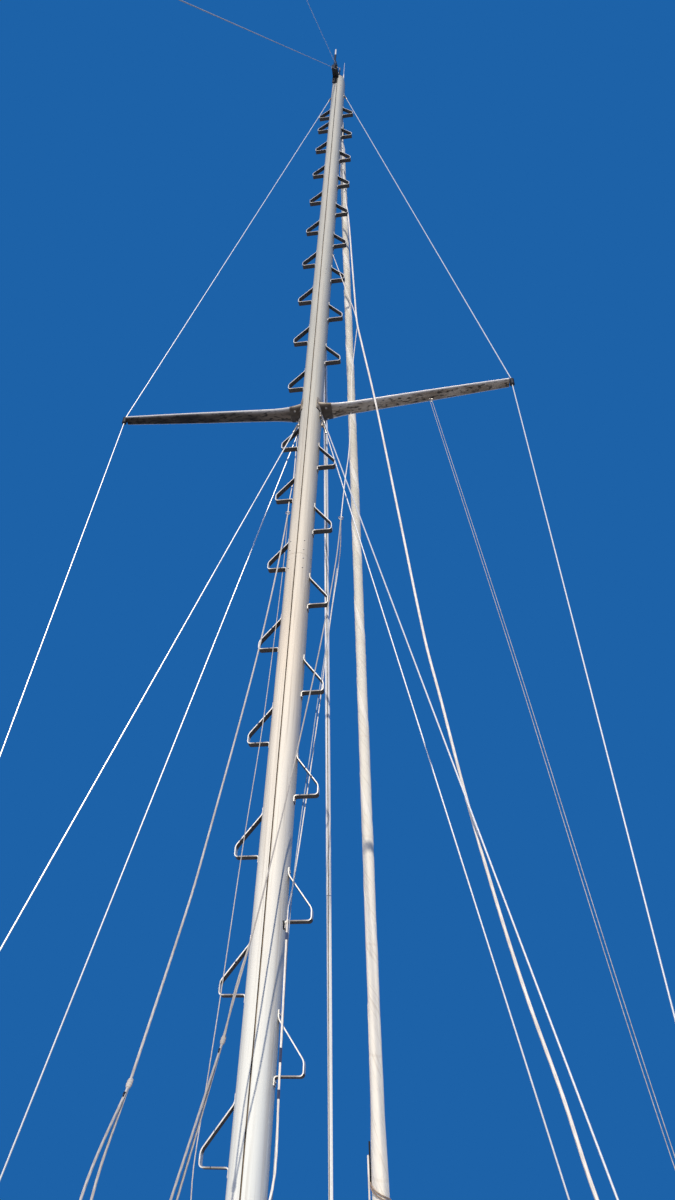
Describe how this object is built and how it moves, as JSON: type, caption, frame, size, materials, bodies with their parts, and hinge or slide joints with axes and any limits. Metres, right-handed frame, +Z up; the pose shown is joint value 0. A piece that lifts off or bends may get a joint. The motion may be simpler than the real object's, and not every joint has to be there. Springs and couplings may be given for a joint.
{
  "type": "sailing yacht mast and rigging",
  "caption": "Cream aluminium yacht mast with strap steps on both sides, a pair of spreaders, wire shrouds and stays, a furled headsail and a boom.",
  "frame": {"origin": "middle of the underside of the mast heel, on the deck", "axes": "+X forward to the bow, +Y to port, +Z up along the mast"},
  "size_m": [11.938, 3.5388, 12.755],
  "materials": {
    "mast_cream": "weathered satin paint on extruded aluminium",
    "cast_aluminium": "dull cast, oxidised",
    "spreader_aluminium": "weathered anodised, dirty underside",
    "step_aluminium": "satin bent strap",
    "foil_aluminium": "satin anodised",
    "stainless_wire": "polished stranded wire and fittings",
    "black_fitting": "black, weathered",
    "white_plastic": "moulded gloss",
    "sail_cloth": "rolled woven polyester",
    "rope": "braided polyester"
  },
  "bodies": {
    "root": {"mast_heel": "cast_aluminium", "mast_lower": "mast_cream", "mast_upper": "mast_cream", "masthead_crane": "black_fitting", "masthead_light": "white_plastic", "aerial_whip": "white_plastic", "spreader_root_port": "cast_aluminium", "spreader_root_starboard": "cast_aluminium", "spreader_port": "spreader_aluminium", "spreader_starboard": "spreader_aluminium", "cap_shroud_upper_port": "stainless_wire", "cap_shroud_upper_starboard": "stainless_wire", "cap_shroud_lower_port": "stainless_wire", "cap_shroud_lower_starboard": "stainless_wire", "fore_lower_port": "stainless_wire", "fore_lower_starboard": "stainless_wire", "aft_lower_port": "stainless_wire", "aft_lower_starboard": "stainless_wire", "backstay": "stainless_wire", "headstay_link": "stainless_wire", "headstay_tack": "stainless_wire", "inner_stay": "foil_aluminium", "gooseneck": "stainless_wire", "step_port_01": "step_aluminium", "step_port_02": "step_aluminium", "step_port_03": "step_aluminium", "step_port_04": "step_aluminium", "step_port_05": "step_aluminium", "step_port_06": "step_aluminium", "step_port_07": "step_aluminium", "step_port_08": "step_aluminium", "step_port_09": "step_aluminium", "step_port_10": "step_aluminium", "step_port_11": "step_aluminium", "step_port_12": "step_aluminium", "step_port_13": "step_aluminium", "step_port_14": "step_aluminium", "step_port_15": "step_aluminium", "step_port_16": "step_aluminium", "step_port_17": "step_aluminium", "step_port_18": "step_aluminium", "step_starboard_01": "step_aluminium", "step_starboard_02": "step_aluminium", "step_starboard_03": "step_aluminium", "step_starboard_04": "step_aluminium", "step_starboard_05": "step_aluminium", "step_starboard_06": "step_aluminium", "step_starboard_07": "step_aluminium", "step_starboard_08": "step_aluminium", "step_starboard_09": "step_aluminium", "step_starboard_10": "step_aluminium", "step_starboard_11": "step_aluminium", "step_starboard_12": "step_aluminium", "step_starboard_13": "step_aluminium", "step_starboard_14": "step_aluminium", "step_starboard_15": "step_aluminium", "step_starboard_16": "step_aluminium"},
    "boom": {"boom": "mast_cream"},
    "furler": {"headsail_foil": "foil_aluminium", "headsail_furled": "sail_cloth"}
  },
  "joints": [
    {"name": "boom_swing", "type": "hinge", "parent": "root", "child": "boom", "pos_m": [-0.165, 0, 0.72], "axis": [0, 0, 1], "range_deg": [-70, 70]},
    {"name": "headsail_furl", "type": "hinge", "parent": "root", "child": "furler", "pos_m": [5.18673, 0, 0.32568], "axis": [-0.398, 0, 0.9174], "continuous": true}
  ]
}
